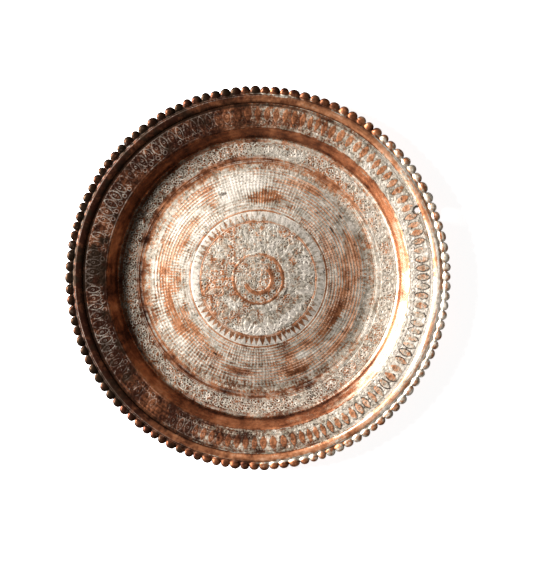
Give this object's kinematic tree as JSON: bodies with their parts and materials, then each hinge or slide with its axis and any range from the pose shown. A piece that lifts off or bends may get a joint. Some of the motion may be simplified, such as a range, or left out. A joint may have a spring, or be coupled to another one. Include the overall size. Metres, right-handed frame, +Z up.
{
  "type": "tray",
  "caption": "Round shallow copper tray, raised from one sheet, with an engraved face, a worn tin wash, a wired ridge and a beaded scalloped edge.",
  "frame": {"origin": "Centre of the flat rest face under the floor. The tray lies face up.", "axes": "+Z up, out of the engraved face. +X and +Y lie in the rest plane, and the hanging hole is in the flange 24 degrees counter-clockwise from +X."},
  "size_m": [0.26, 0.26, 0.0198],
  "materials": {
    "copper_sheet": "hammered, engraved and fire-darkened copper, rough satin",
    "tin_wash": "thin wiped tin, worn through to copper, satin",
    "worn_copper_rim": "beaded copper with worn tin, satin",
    "iron_wire": "drawn soft iron wire, dull"
  },
  "bodies": {
    "root": {"tray_body": "copper_sheet", "tin_lining": "tin_wash", "scalloped_rim": "worn_copper_rim", "rim_wire": "iron_wire"}
  },
  "joints": []
}
